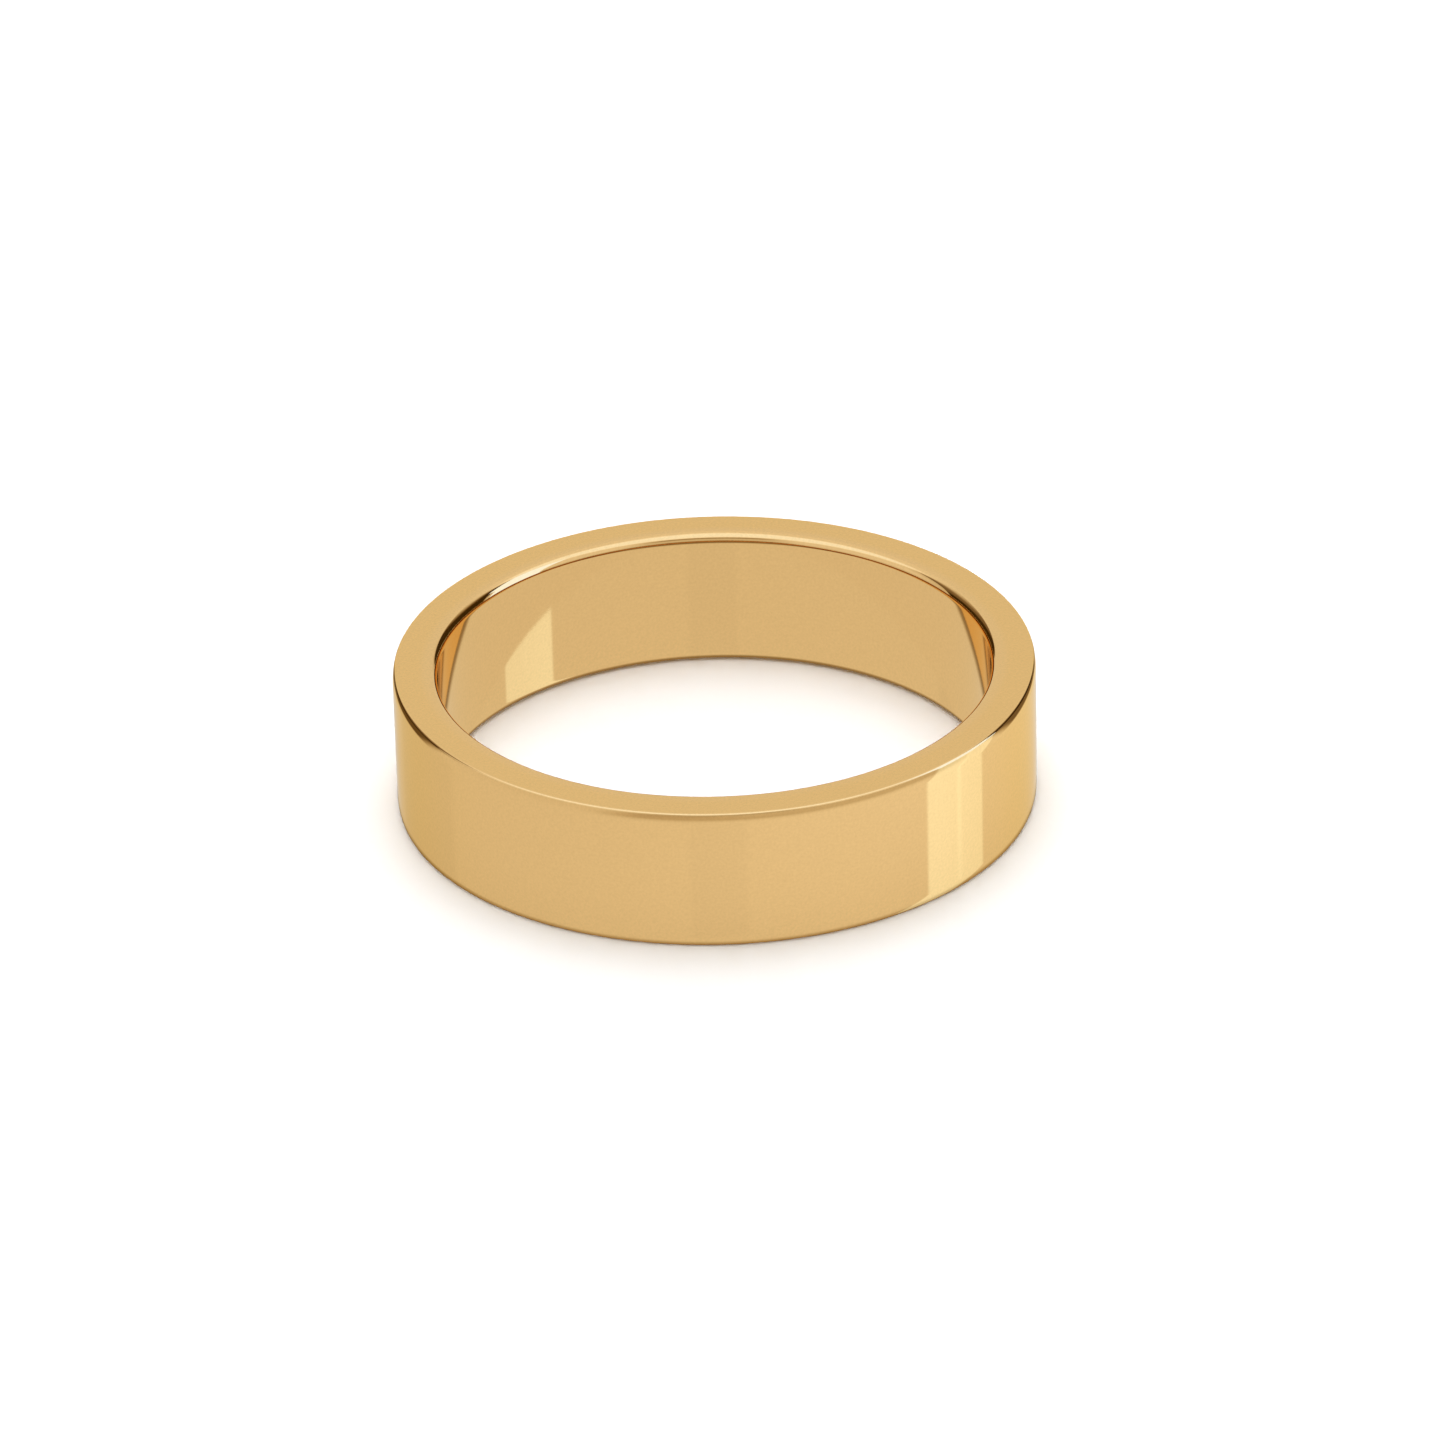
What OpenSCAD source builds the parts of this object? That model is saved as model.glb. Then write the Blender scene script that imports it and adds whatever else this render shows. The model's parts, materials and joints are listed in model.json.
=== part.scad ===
// Plain flat wedding band.
// A straight-sided ring of one piece of solid gold: flat outside, flat inside,
// flat side faces, and four small rounded edges that run all the way round.
// The outside face and the inside face each ease very slightly away just before
// their two edges, as hand polishing leaves them.
// Millimetres. +Z is up and runs along the finger. The ring stands on one of
// its side faces, and the origin is the centre of that face, on the finger's
// axis.

/* [Fit] */
// Inside diameter of the finger opening (18.95 is US ring size 9)
inside_d = 18.95; // [14:0.01:23]

/* [Band] */
// Width of the band along the finger
band_w = 5; // [2:0.1:10]
// Thickness of the wall, from the inside face to the outside face
wall_t = 1.53; // [1:0.01:2.5]

/* [Edges] */
// Radius of the two small edges round the outside of the band
outer_edge_r = 0.1; // [0.03:0.01:0.24]
// Distance from the side face at which the outside face starts to ease in
outer_ease_w = 0.36; // [0.25:0.01:0.8]
// Radius of the two edges round the finger opening
inner_edge_r = 0.32; // [0.05:0.01:0.34]
// Distance from the side face at which the inside face starts to ease out
inner_ease_w = 0.36; // [0.35:0.01:0.8]
// Radius of those gentle curves, seen in cross-section
ease_r = 1.15; // [1:0.05:10]

/* [Colour] */
// Red part of the gold's colour
gold_red = 0.88; // [0.5:0.01:1]
// Green part of the gold's colour
gold_green = 0.71; // [0.4:0.01:1]
// Blue part of the gold's colour
gold_blue = 0.46; // [0.2:0.01:1]

/* [Hidden] */
$fn = 180;
// Steps in the rounding of an edge
edge_fn = 48;
// Radii of the two round faces
inside_r = inside_d / 2;
outside_r = inside_r + wall_t;

// What is cut off one square corner, in two cuts: the gentle curve of the round
// face, which starts ease_w from the side face, then the small edge of radius
// edge_r, which is tangent to that curve and to the side face.
// The corner is at the origin and the bar lies towards +X and +Y.
module corner_waste(edge_r, ease_w) {
    // slope of the round face where the small edge takes over, and how far in
    // the small edge's own centre is
    slope = asin((ease_w - edge_r) / (ease_r - edge_r));
    edge_x = ease_r - (ease_r - edge_r) * cos(slope);
    difference() {
        translate([-0.5, -0.1]) square([1, ease_w + 0.1]);
        translate([ease_r, ease_w]) circle(r = ease_r);
    }
    difference() {
        polygon([
            [edge_x, edge_r],
            [edge_x, -0.5],
            [edge_x - 1, -0.5],
            [edge_x - cos(slope), edge_r - sin(slope)]
        ]);
        translate([edge_x, edge_r]) circle(r = edge_r, $fn = edge_fn);
    }
}

// Cross-section of the bar: X is the distance from the finger's axis and Y is
// the height.
module bar_section() {
    difference() {
        translate([inside_r, 0]) square([wall_t, band_w]);
        translate([inside_r, 0])
            corner_waste(inner_edge_r, inner_ease_w);
        translate([inside_r, band_w]) mirror([0, 1])
            corner_waste(inner_edge_r, inner_ease_w);
        translate([outside_r, 0]) mirror([1, 0])
            corner_waste(outer_edge_r, outer_ease_w);
        translate([outside_r, band_w]) mirror([1, 0]) mirror([0, 1])
            corner_waste(outer_edge_r, outer_ease_w);
    }
}

// The band: the bar's section carried once round the finger's axis.
module band() {
    color([gold_red, gold_green, gold_blue])
        rotate_extrude() bar_section();
}

band();
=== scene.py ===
import json
import math

import bpy
import numpy as np
from mathutils import Matrix, Vector


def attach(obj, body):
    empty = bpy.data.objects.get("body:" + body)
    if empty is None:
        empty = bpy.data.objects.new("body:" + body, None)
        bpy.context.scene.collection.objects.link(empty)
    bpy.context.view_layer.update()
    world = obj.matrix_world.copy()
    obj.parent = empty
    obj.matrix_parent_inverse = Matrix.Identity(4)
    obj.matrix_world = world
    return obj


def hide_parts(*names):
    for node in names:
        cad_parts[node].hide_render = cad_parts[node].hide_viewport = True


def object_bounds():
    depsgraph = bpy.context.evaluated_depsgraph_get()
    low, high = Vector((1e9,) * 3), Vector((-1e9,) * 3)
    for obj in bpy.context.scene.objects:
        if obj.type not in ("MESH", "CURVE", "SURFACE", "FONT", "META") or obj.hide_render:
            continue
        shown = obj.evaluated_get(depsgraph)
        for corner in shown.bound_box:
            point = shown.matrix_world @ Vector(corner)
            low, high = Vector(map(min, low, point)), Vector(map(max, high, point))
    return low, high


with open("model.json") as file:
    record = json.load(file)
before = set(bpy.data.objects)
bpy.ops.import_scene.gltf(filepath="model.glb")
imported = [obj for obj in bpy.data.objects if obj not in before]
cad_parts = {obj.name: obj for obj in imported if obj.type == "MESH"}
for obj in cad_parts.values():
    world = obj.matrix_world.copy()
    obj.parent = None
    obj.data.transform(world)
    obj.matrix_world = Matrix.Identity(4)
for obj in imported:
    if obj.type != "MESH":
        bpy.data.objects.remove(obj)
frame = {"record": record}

CAD_LO, CAD_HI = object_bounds()
scene = bpy.context.scene
MM = 0.001

# ---------------------------------------------------------------- sizes (metres)
mounts = {m["name"]: m for m in frame["record"]["mounts"]}
INNER_R = mounts["finger_bore"]["dims"]["r_mm"] * MM
OUTER_R = round((CAD_HI.x - CAD_LO.x) / 2 / MM, 2) * MM
WIDTH = round((CAD_HI.z - CAD_LO.z) / MM, 2) * MM
EDGE_IN = 0.32 * MM      # rounding of the two edges round the finger opening
EDGE_OUT = 0.10 * MM     # rounding of the two outside edges
EASE_IN_W = 0.36 * MM    # the inside face eases away over this height
EASE_OUT_W = 0.36 * MM   # and the outside face over this one
EASE_R = 1.15 * MM       # both with this radius


def link(obj):
    scene.collection.objects.link(obj)
    return obj


# ---------------------------------------------------------------- node helpers
class Net:
    """Writes arithmetic as shader nodes."""

    def __init__(self, tree):
        self.t = tree
        self.n = tree.nodes
        self.count = 0

    def add(self, kind, **props):
        node = self.n.new(kind)
        for k, v in props.items():
            setattr(node, k, v)
        node.location = (180 * (self.count % 24), -220 * (self.count // 24))
        self.count += 1
        return node

    def put(self, socket, value):
        if isinstance(value, bpy.types.NodeSocket):
            self.t.links.new(value, socket)
        else:
            socket.default_value = value

    def math(self, op, a, b=None, c=None, clamp=False):
        node = self.add("ShaderNodeMath", operation=op, use_clamp=clamp)
        for i, v in enumerate((a, b, c)):
            if v is not None:
                self.put(node.inputs[i], v)
        return node.outputs[0]

    def step(self, x, lo, hi):
        """0 below lo, 1 above hi, smooth between (hi below lo turns it round)."""
        node = self.add("ShaderNodeMapRange", interpolation_type="SMOOTHSTEP", clamp=True)
        turned = hi < lo
        a, b = (hi, lo) if turned else (lo, hi)
        self.put(node.inputs["Value"], x)
        node.inputs["From Min"].default_value = a
        node.inputs["From Max"].default_value = b
        node.inputs["To Min"].default_value = 1.0 if turned else 0.0
        node.inputs["To Max"].default_value = 0.0 if turned else 1.0
        return node.outputs["Result"]

    def blend(self, f, a, b):
        """a where f is 0, b where f is 1; plain numbers or sockets."""
        node = self.add("ShaderNodeMix", data_type="FLOAT", clamp_factor=True)
        self.put(node.inputs[0], f)
        self.put(node.inputs[2], a)
        self.put(node.inputs[3], b)
        return node.outputs[0]


# ---------------------------------------------------------------- gold
def gold_material():
    mat = bpy.data.materials.new("polished_yellow_gold")
    mat.use_nodes = True
    tree = mat.node_tree
    tree.nodes.clear()
    w = Net(tree)
    out = w.add("ShaderNodeOutputMaterial")
    bsdf = w.add("ShaderNodeBsdfPrincipled")
    tree.links.new(bsdf.outputs[0], out.inputs[0])
    bsdf.inputs["Metallic"].default_value = 1.0
    place = w.add("ShaderNodeTexCoord").outputs["Object"]
    split = w.add("ShaderNodeSeparateXYZ")
    w.put(split.inputs[0], place)
    x, y, z = split.outputs
    radius = w.math("SQRT", w.math("ADD", w.math("MULTIPLY", x, x), w.math("MULTIPLY", y, y)))

    # the alloy's colour, a little uneven over a few millimetres
    cloud = w.add("ShaderNodeTexNoise")
    w.put(cloud.inputs["Vector"], place)
    cloud.inputs["Scale"].default_value = 260.0
    cloud.inputs["Detail"].default_value = 3.0
    cloud.inputs["Roughness"].default_value = 0.55
    tone = w.add("ShaderNodeMix", data_type="RGBA")
    w.put(tone.inputs[0], cloud.outputs[0])
    tone.inputs[6].default_value = (0.930, 0.612, 0.252, 1)
    tone.inputs[7].default_value = (0.950, 0.628, 0.262, 1)
    # the metal's grain, under a tenth of a millimetre
    grain = w.add("ShaderNodeTexNoise")
    w.put(grain.inputs["Vector"], place)
    grain.inputs["Scale"].default_value = 11000.0
    grain.inputs["Detail"].default_value = 1.0
    speckle = w.add("ShaderNodeMix", data_type="RGBA", blend_type="MULTIPLY")
    speckle.inputs[0].default_value = 1.0
    w.put(speckle.inputs[6], tone.outputs[2])
    w.put(speckle.inputs[7], w.blend(grain.outputs[0], 0.93, 1.07))
    w.put(bsdf.inputs["Base Color"], speckle.outputs[2])

    # the outside is buffed softer than the inside, and pales less at a glance
    sheen = w.add("ShaderNodeMix", data_type="RGBA")
    w.put(sheen.inputs[0], w.step(radius, INNER_R + 0.35 * MM, INNER_R + 0.7 * MM))
    sheen.inputs[6].default_value = (1.0, 0.95, 0.80, 1)
    sheen.inputs[7].default_value = (1.0, 0.88, 0.60, 1)
    w.put(bsdf.inputs["Specular Tint"], sheen.outputs[2])

    # buffing: hair-thin marks run round the band, clouds of slightly softer polish
    around = w.math("ARCTAN2", x, y)
    lines_at = w.add("ShaderNodeCombineXYZ")
    w.put(lines_at.inputs[0], w.math("MULTIPLY", around, 9.0))
    w.put(lines_at.inputs[1], w.math("MULTIPLY", radius, 26000.0))
    w.put(lines_at.inputs[2], w.math("MULTIPLY", z, 26000.0))
    lines = w.add("ShaderNodeTexNoise")
    w.put(lines.inputs["Vector"], lines_at.outputs[0])
    lines.inputs["Scale"].default_value = 1.0
    lines.inputs["Detail"].default_value = 3.0
    lines.inputs["Roughness"].default_value = 0.6
    soft = w.add("ShaderNodeTexNoise")
    w.put(soft.inputs["Vector"], place)
    soft.inputs["Scale"].default_value = 900.0
    soft.inputs["Detail"].default_value = 2.0
    rough = w.math("ADD", w.math("MULTIPLY", soft.outputs[0], 0.022), w.math("MULTIPLY", lines.outputs[0], 0.022))
    w.put(bsdf.inputs["Roughness"], w.math("ADD", rough, 0.028))
    bump = w.add("ShaderNodeBump")
    bump.inputs["Strength"].default_value = 0.02
    bump.inputs["Distance"].default_value = 0.00001
    w.put(bump.inputs["Height"], lines.outputs[0])
    w.put(bsdf.inputs["Normal"], bump.outputs[0])
    return mat


# ---------------------------------------------------------------- the band
def section():
    """Points and normals (r, z) once round the bar's cross-section, starting at the
    foot of the outside face, going up it, over the top and down the inside."""
    pts = []

    def arc(cx, cz, rad, a0, a1, n, first=True):
        for i in range(0 if first else 1, n + 1):
            a = a0 + (a1 - a0) * i / n
            pts.append((cx + rad * math.cos(a), cz + rad * math.sin(a), math.cos(a), math.sin(a)))

    def wall(r, z0, z1, n, side):
        for i in range(1, n):
            pts.append((r, z0 + (z1 - z0) * i / n, side, 0.0))

    def corner(edge, ease_w):
        """Slope where the small edge takes over, and how far in its centre is."""
        t = math.asin((ease_w - edge) / (EASE_R - edge))
        return t, EASE_R - (EASE_R - edge) * math.cos(t)

    q = math.pi / 2
    # outside: lower edge, from the side face up, the wall, the upper edge
    t, inset = corner(EDGE_OUT, EASE_OUT_W)
    edge_x, ease_x = OUTER_R - inset, OUTER_R - EASE_R
    arc(edge_x, EDGE_OUT, EDGE_OUT, -q, -t, 10)
    arc(ease_x, EASE_OUT_W, EASE_R, -t, 0, 6, False)
    wall(OUTER_R, EASE_OUT_W, WIDTH - EASE_OUT_W, 4, 1.0)
    arc(ease_x, WIDTH - EASE_OUT_W, EASE_R, 0, t, 6)
    arc(edge_x, WIDTH - EDGE_OUT, EDGE_OUT, t, q, 10, False)
    # over the upper side face, then the inside, downwards
    t, inset = corner(EDGE_IN, EASE_IN_W)
    edge_x, ease_x = INNER_R + inset, INNER_R + EASE_R
    arc(edge_x, WIDTH - EDGE_IN, EDGE_IN, q, 2 * q - t, 14)
    arc(ease_x, WIDTH - EASE_IN_W, EASE_R, 2 * q - t, 2 * q, 4, False)
    wall(INNER_R, WIDTH - EASE_IN_W, EASE_IN_W, 4, -1.0)
    arc(ease_x, EASE_IN_W, EASE_R, 2 * q, 2 * q + t, 4)
    arc(edge_x, EDGE_IN, EDGE_IN, 2 * q + t, 3 * q, 14, False)
    return pts


def lathe(name, pts, steps):
    m = len(pts)
    a = np.arange(steps) * (2 * math.pi / steps)
    s, c = np.sin(a), np.cos(a)
    p = np.array(pts)
    co = np.empty((steps, m, 3))
    no = np.empty((steps, m, 3))
    co[:, :, 0] = s[:, None] * p[None, :, 0]
    co[:, :, 1] = c[:, None] * p[None, :, 0]
    co[:, :, 2] = p[None, :, 1]
    no[:, :, 0] = s[:, None] * p[None, :, 2]
    no[:, :, 1] = c[:, None] * p[None, :, 2]
    no[:, :, 2] = p[None, :, 3]
    faces = []
    for i in range(steps):
        k = (i + 1) % steps
        for j in range(m):
            l = (j + 1) % m
            faces.append((i * m + j, i * m + l, k * m + l, k * m + j))
    mesh = bpy.data.meshes.new(name)
    mesh.from_pydata(co.reshape(-1, 3).tolist(), [], faces)
    mesh.update()
    if sum(f.normal.dot(Vector((f.center.x, f.center.y, 0))) * (1 if math.hypot(f.center.x, f.center.y) > (INNER_R + OUTER_R) / 2 else -1) for f in mesh.polygons[: 4 * m]) < 0:
        mesh.flip_normals()
    mesh.polygons.foreach_set("use_smooth", [True] * len(mesh.polygons))
    mesh.normals_split_custom_set_from_vertices(no.reshape(-1, 3).tolist())
    mesh.update()
    return link(bpy.data.objects.new(name, mesh))


band = lathe("band_polished", section(), 960)
band.data.materials.append(gold_material())
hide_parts("band")
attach(band, "root")


# ---------------------------------------------------------------- camera
def camera():
    cam_data = bpy.data.cameras.new("camera")
    cam = link(bpy.data.objects.new("camera", cam_data))
    cam_data.sensor_width = 36.0
    cam_data.lens = 223.56
    cam_data.dof.use_dof = False
    up_by, roll, far = 0.49124, 0.02541, 307.87 * MM
    back = Vector((0, -math.cos(up_by), math.sin(up_by)))
    right = Vector((1, 0, 0))
    up = Vector((0, math.sin(up_by), math.cos(up_by)))
    at = far * back + 0.2377 * MM * right + 0.0720 * MM * up + Vector((0, 0, WIDTH / 2))
    c, s = math.cos(roll), math.sin(roll)
    x_axis = c * right - s * up
    y_axis = s * right + c * up
    m = Matrix((x_axis, y_axis, back)).transposed().to_4x4()
    m.translation = at
    cam.matrix_world = m
    cam_data.clip_start, cam_data.clip_end = 0.01, 5.0
    scene.camera = cam


camera()


# ---------------------------------------------------------------- floor and studio
def floor():
    size = 1.2
    mesh = bpy.data.meshes.new("floor")
    mesh.from_pydata([(-size, -size, 0), (size, -size, 0), (size, size, 0), (-size, size, 0)], [], [(0, 1, 2, 3)])
    obj = link(bpy.data.objects.new("floor", mesh))
    mat = bpy.data.materials.new("pale_floor")
    mat.use_nodes = True
    bsdf = mat.node_tree.nodes["Principled BSDF"]
    bsdf.inputs["Base Color"].default_value = (0.86, 0.86, 0.86, 1)
    bsdf.inputs["Roughness"].default_value = 0.9
    bsdf.inputs["Specular IOR Level"].default_value = 0.0
    # light spreads a little inside it, as in white acrylic sheet
    bsdf.subsurface_method = "BURLEY"
    bsdf.inputs["Subsurface Weight"].default_value = 1.0
    bsdf.inputs["Subsurface Radius"].default_value = (1.0, 1.0, 1.0)
    bsdf.inputs["Subsurface Scale"].default_value = 0.55 * MM
    mesh.materials.append(mat)
    obj.visible_glossy = False


floor()

# A light's brightness turns to colour by this table: dim parts of the studio are
# warm, the lights themselves are cool.
TONES = [
    (0.00, (0.0, 0.0, 0.0)),
    (0.05, (0.10, 0.055, 0.01)),
    (0.20, (0.26, 0.20, 0.13)),
    (0.46, (0.515, 0.46, 0.39)),
    (0.57, (0.60, 0.57, 0.53)),
    (0.73, (0.742, 0.73, 0.73)),
    (0.80, (0.80, 0.80, 0.83)),
    (0.90, (0.89, 0.90, 0.95)),
    (1.00, (0.95, 1.00, 1.13)),
    (1.17, (1.02, 1.17, 1.50)),
    (1.42, (1.07, 1.42, 2.40)),
]
TOP = 1.5


def tone_of(g):
    for (a, ca), (b, cb) in zip(TONES, TONES[1:]):
        if g <= b:
            f = (g - a) / (b - a)
            return tuple(x + (y - x) * f for x, y in zip(ca, cb))
    return TONES[-1][1]


def toned(w, g):
    """The colour of brightness g, as nodes."""
    ramp = w.add("ShaderNodeValToRGB")
    ramp.color_ramp.interpolation = "LINEAR"
    els = ramp.color_ramp.elements
    while len(els) > 1:
        els.remove(els[-1])
    for i, (at, col) in enumerate(TONES):
        e = els[0] if i == 0 else els.new(at / TOP)
        e.position = at / TOP
        e.color = (*col, 1)
    w.put(ramp.inputs[0], w.math("DIVIDE", g, TOP))
    return ramp.outputs[0]


def studio():
    world = bpy.data.worlds.new("studio")
    scene.world = world
    world.use_nodes = True
    tree = world.node_tree
    tree.nodes.clear()
    w = Net(tree)
    out = w.add("ShaderNodeOutputWorld")
    way = w.add("ShaderNodeTexCoord").outputs["Generated"]
    split = w.add("ShaderNodeSeparateXYZ")
    w.put(split.inputs[0], way)
    x, y, z = split.outputs
    turn = w.math("ARCTAN2", x, y)                                       # from +Y towards +X
    az = w.math("MULTIPLY", turn, 180 / math.pi)
    el = w.math("MULTIPLY", w.math("ARCSINE", z), 180 / math.pi)

    def turned(centre):
        """Azimuth measured from centre, -180 to 180."""
        return w.math("WRAP", w.math("SUBTRACT", az, centre), 180.0, -180.0)

    def patch(base, level, az0, az1, el0, el1, soft_az=4.0, soft_el=4.0):
        """base, changed to level inside a soft-edged window of the studio."""
        centre, half = (az0 + az1) / 2, (az1 - az0) / 2
        if half < 180:
            across = w.step(w.math("ABSOLUTE", turned(centre)), half + soft_az / 2, half - soft_az / 2)
        else:
            across = None
        mid, tall = (el0 + el1) / 2, (el1 - el0) / 2
        updown = w.step(w.math("ABSOLUTE", w.math("SUBTRACT", el, mid)), tall + soft_el / 2, tall - soft_el / 2)
        f = updown if across is None else w.math("MULTIPLY", across, updown)
        return w.blend(f, base, level)

    # the room as the upper faces and edges see it
    g = w.blend(w.step(el, 0, 20), 0.62, 0.60)
    # pale screen behind
    g = patch(g, 0.735, -26, 26, -6, 60, 6, 10)
    # black flags, left and right of it
    g = patch(g, 0.13, -71, -27, -6, 44, 2.5, 3)
    g = patch(g, 0.022, -71, -27, -6, 19, 2.5, 4)
    g = patch(g, 0.022, 30, 77, -6, 44, 2.5, 3)
    # paler to the camera's left and right, with a dark line low down behind the camera
    g = patch(g, 0.80, 92, 150, 10, 50, 20, 12)
    g = patch(g, 0.80, -150, -80, 10, 50, 20, 12)
    g = patch(g, 0.22, 105, 212, -3, 3, 14, 6)
    g = patch(g, 0.30, 155, 205, 27, 37, 14, 6)
    # overhead light
    g = patch(g, 1.17, -180, 180, 44, 130, 4, 12)
    g = patch(g, 0.80, -52, 52, 36, 78, 36, 22)
    # below the horizon: the studio's faint mirror image in the floor
    low = 0.065
    low = patch(low, 0.03, -70, -27, -42, 0, 6, 6)
    low = patch(low, 0.042, 170, 190, -31, -26.6, 2.5, 1.5)
    above = w.step(el, -0.5, 0.5)

    shiny = w.add("ShaderNodeBackground")
    w.put(shiny.inputs[0], toned(w, g))
    shiny_low = w.add("ShaderNodeBackground")
    shiny_low.inputs[0].default_value = (1, 1, 1, 1)
    w.put(shiny_low.inputs[1], low)
    shine = w.add("ShaderNodeMixShader")
    w.put(shine.inputs[0], above)
    tree.links.new(shiny_low.outputs[0], shine.inputs[1])
    tree.links.new(shiny.outputs[0], shine.inputs[2])

    # what lights the floor: a broad soft light overhead, and a lower one behind
    soft = w.add("ShaderNodeBackground")
    off = w.math("DIVIDE", w.math("SUBTRACT", el, 31.0), 22.0)
    lobe = w.math("EXPONENT", w.math("MULTIPLY", w.math("MULTIPLY", off, off), -1.0))
    behind = w.math("POWER", w.math("MAXIMUM", w.math("COSINE", turn), 0.0), 2.0)
    beside = w.math("MULTIPLY", w.math("SINE", turn), w.math("SINE", turn))
    lower = w.math("ADD", w.math("MULTIPLY", behind, 2.65), w.math("MULTIPLY", beside, 0.52))
    lift = w.math("ADD", w.math("MULTIPLY", w.step(el, 40, 90), 4.92), w.math("MULTIPLY", lower, lobe))
    lift = w.blend(w.step(el, -10, 0), 0.0, lift)
    w.put(soft.inputs[1], lift)
    soft.inputs[0].default_value = (1, 1, 1, 1)
    plain = w.add("ShaderNodeBackground")
    plain.inputs[0].default_value = (1, 1, 1, 1)
    path = w.add("ShaderNodeLightPath")
    mix1 = w.add("ShaderNodeMixShader")
    w.put(mix1.inputs[0], path.outputs["Is Glossy Ray"])
    tree.links.new(soft.outputs[0], mix1.inputs[1])
    tree.links.new(shine.outputs[0], mix1.inputs[2])
    mix2 = w.add("ShaderNodeMixShader")
    w.put(mix2.inputs[0], path.outputs["Is Camera Ray"])
    tree.links.new(mix1.outputs[0], mix2.inputs[1])
    tree.links.new(plain.outputs[0], mix2.inputs[2])
    tree.links.new(mix2.outputs[0], out.inputs[0])


studio()


def glow(name, verts, faces, colour=None):
    """A stage piece that only the polish sees. colour is linear light; verts in mm."""
    mesh = bpy.data.meshes.new(name)
    mesh.from_pydata([tuple(v * MM for v in c) for c in verts], [], faces)
    obj = link(bpy.data.objects.new(name, mesh))
    mat = bpy.data.materials.new(name)
    mat.use_nodes = True
    tree = mat.node_tree
    tree.nodes.clear()
    w = Net(tree)
    out = w.add("ShaderNodeOutputMaterial")
    em = w.add("ShaderNodeEmission")
    if colour:
        em.inputs[0].default_value = (*colour, 1)
        tree.links.new(em.outputs[0], out.inputs[0])
    mat.cycles.emission_sampling = "NONE"
    mesh.materials.append(mat)
    obj.visible_camera = False
    obj.visible_diffuse = False
    obj.visible_shadow = False
    obj.visible_transmission = False
    return w, em, out


# the softbox at the right, and its mirror image in the floor
glow("side_softbox", [(84, 21, 1), (84, -21, 1), (84, -21, 100), (84, 34, 100), (84, 34, 55), (84, 21, 40)], [(0, 1, 2, 3, 4, 5)], tone_of(1.42))


def softbox_image():
    """Faint, with soft ends, a brighter line up its middle, and fading with depth."""
    w, em, out = glow("side_softbox_image", [(84, 23, -1), (84, -23, -1), (84, -23, -100), (84, 23, -100)], [(0, 1, 2, 3)])
    split = w.add("ShaderNodeSeparateXYZ")
    w.put(split.inputs[0], w.add("ShaderNodeTexCoord").outputs["Object"])
    _, y, z = split.outputs
    ends = w.step(w.math("ABSOLUTE", y), 23 * MM, 20 * MM)
    off = w.math("DIVIDE", w.math("SUBTRACT", y, 1.5 * MM), 1.6 * MM)
    line = w.math("MULTIPLY", w.math("EXPONENT", w.math("MULTIPLY", w.math("MULTIPLY", off, off), -1.0)), 0.30)
    line = w.math("MULTIPLY", line, w.step(z, -48 * MM, -38 * MM))
    slope = w.blend(w.step(y, -18 * MM, 18 * MM), 1.06, 0.92)
    w.put(em.inputs[1], w.math("MULTIPLY", w.math("ADD", slope, line), ends))
    em.inputs[0].default_value = (0.27, 0.38, 0.50, 1)
    clear = w.add("ShaderNodeBsdfTransparent")
    cover = w.add("ShaderNodeMixShader")
    w.put(cover.inputs[0], ends)
    w.t.links.new(clear.outputs[0], cover.inputs[1])
    w.t.links.new(em.outputs[0], cover.inputs[2])
    w.t.links.new(cover.outputs[0], out.inputs[0])


softbox_image()


def ring_image():
    """The ring's own faint mirror image in the floor, which hides the softbox's image."""
    n = 192
    ri, ro, h = INNER_R / MM, OUTER_R / MM, 0.95 * WIDTH / MM
    verts, faces = [], []
    for i in range(n):
        a = 2 * math.pi * i / n
        for r, z in ((ro, -0.05), (ro, -h), (ri, -h), (ri, -0.05)):
            verts.append((r * math.sin(a), r * math.cos(a), z))
    for i in range(n):
        k = (i + 1) % n
        for j in range(4):
            l = (j + 1) % 4
            faces.append((i * 4 + j, i * 4 + l, k * 4 + l, k * 4 + j))
    glow("ring_image", verts, faces, (0.055, 0.05, 0.045))


ring_image()


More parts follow.
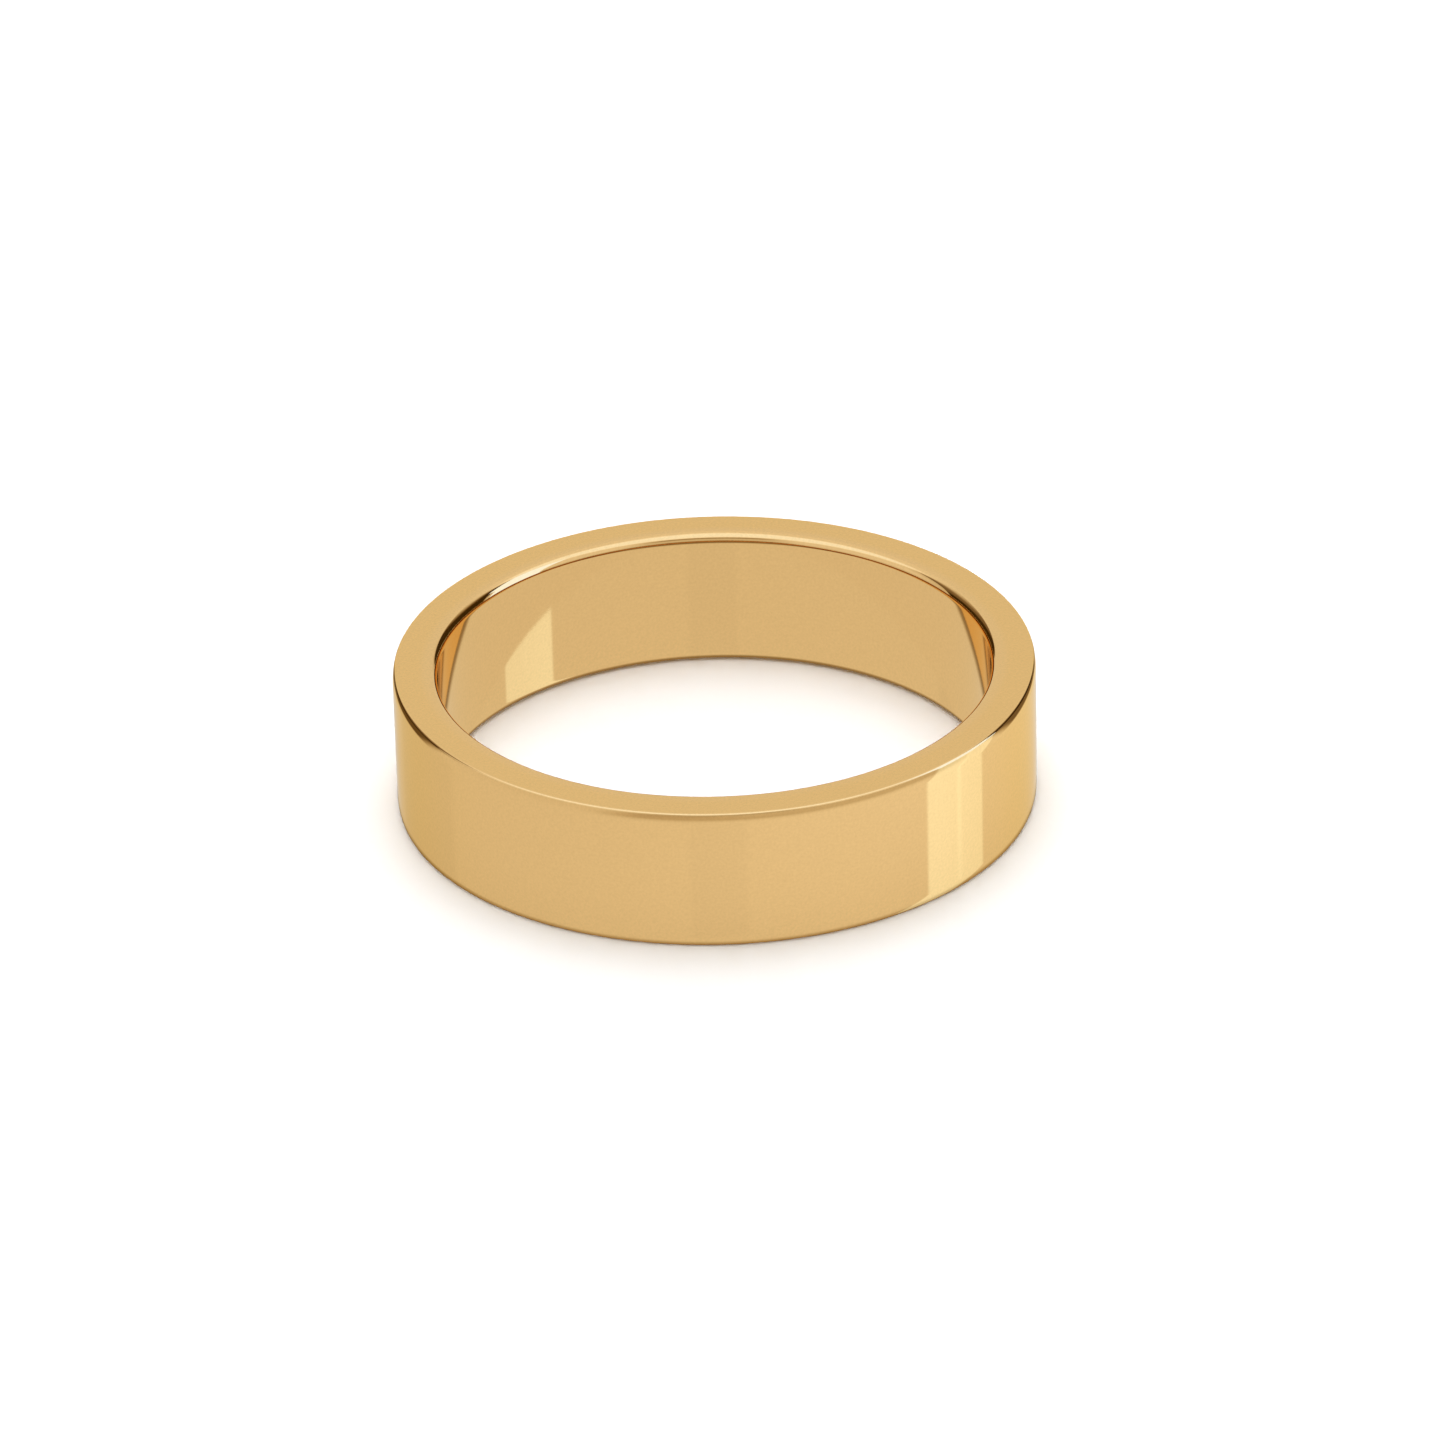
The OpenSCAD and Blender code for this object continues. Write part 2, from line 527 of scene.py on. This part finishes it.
def floor_light():
    """The floor as the polish sees it, as a painted reflection on a glowing sheet: pale, with painted
    light a little brighter to the right and painted shade close to the ring and inside it. What lies below shows
    through, faintly."""
    s = 1200
    w, em, out = glow("floor_light", [(-s, -s, -0.02), (s, -s, -0.02), (s, s, -0.02), (-s, s, -0.02)], [(0, 1, 2, 3)])
    split = w.add("ShaderNodeSeparateXYZ")
    w.put(split.inputs[0], w.add("ShaderNodeTexCoord").outputs["Object"])
    x, y, _ = split.outputs
    r = w.math("SQRT", w.math("ADD", w.math("MULTIPLY", x, x), w.math("MULTIPLY", y, y)))
    # painted light: a little brighter to the right, towards the softbox
    side = w.math("MULTIPLY", w.step(x, -0.03, 0.03), 0.185)
    outside = w.math("ADD", side, 0.64)
    # painted shade close to the ring's outside, fading outwards
    gap = w.math("SUBTRACT", r, OUTER_R)
    shade = w.math("MULTIPLY", w.math("EXPONENT", w.math("MULTIPLY", gap, -1 / (3.0 * MM))), 0.12)
    outside = w.math("MULTIPLY", outside, w.math("SUBTRACT", 1.0, shade))
    # painted shade: farther off it dims, most of all in front of the two black flags
    side_az = w.math("MULTIPLY", w.math("ABSOLUTE", w.math("ARCTAN2", x, y)), 180 / math.pi)
    flagged = w.math("MULTIPLY", w.step(side_az, 32, 48), w.step(side_az, 92, 80))
    dim = w.math("MULTIPLY", flagged, w.step(gap, 7 * MM, 9 * MM))
    outside = w.math("MULTIPLY", outside, w.math("SUBTRACT", 1.0, w.math("MULTIPLY", dim, 0.92)))
    behind_right = w.math("ABSOLUTE", w.math("WRAP", w.math("SUBTRACT", w.math("MULTIPLY", w.math("ARCTAN2", x, y), 180 / math.pi), 155.0), 180.0, -180.0))
    far = w.math("MULTIPLY", w.step(gap, 8 * MM, 24 * MM), w.step(behind_right, 66, 46))
    outside = w.math("MULTIPLY", outside, w.math("SUBTRACT", 1.0, w.math("MULTIPLY", far, 0.38)))
    # inside, the near half lies in the shade of the band's near side
    inside = w.blend(w.step(y, 0.5 * MM, -2.5 * MM), 0.65, 0.12)
    level = w.blend(w.math("GREATER_THAN", r, (INNER_R + OUTER_R) / 2), inside, outside)
    # painted shade: dimmer under the band and at its foot
    from_mid = w.math("ABSOLUTE", w.math("SUBTRACT", r, (INNER_R + OUTER_R) / 2))
    foot = w.step(from_mid, (OUTER_R - INNER_R) / 2 - 0.08 * MM, (OUTER_R - INNER_R) / 2 + 0.24 * MM)
    level = w.math("MULTIPLY", level, w.blend(foot, 0.25, 1.0))
    w.put(em.inputs[0], toned(w, level))
    clear = w.add("ShaderNodeBsdfTransparent")
    both = w.add("ShaderNodeAddShader")
    w.t.links.new(em.outputs[0], both.inputs[0])
    w.t.links.new(clear.outputs[0], both.inputs[1])
    w.t.links.new(both.outputs[0], out.inputs[0])


floor_light()

scene.view_settings.view_transform = "Standard"
scene.view_settings.look = "None"
scene.view_settings.exposure = 0.0
scene.view_settings.gamma = 1.0

bpy.context.view_layer.update()
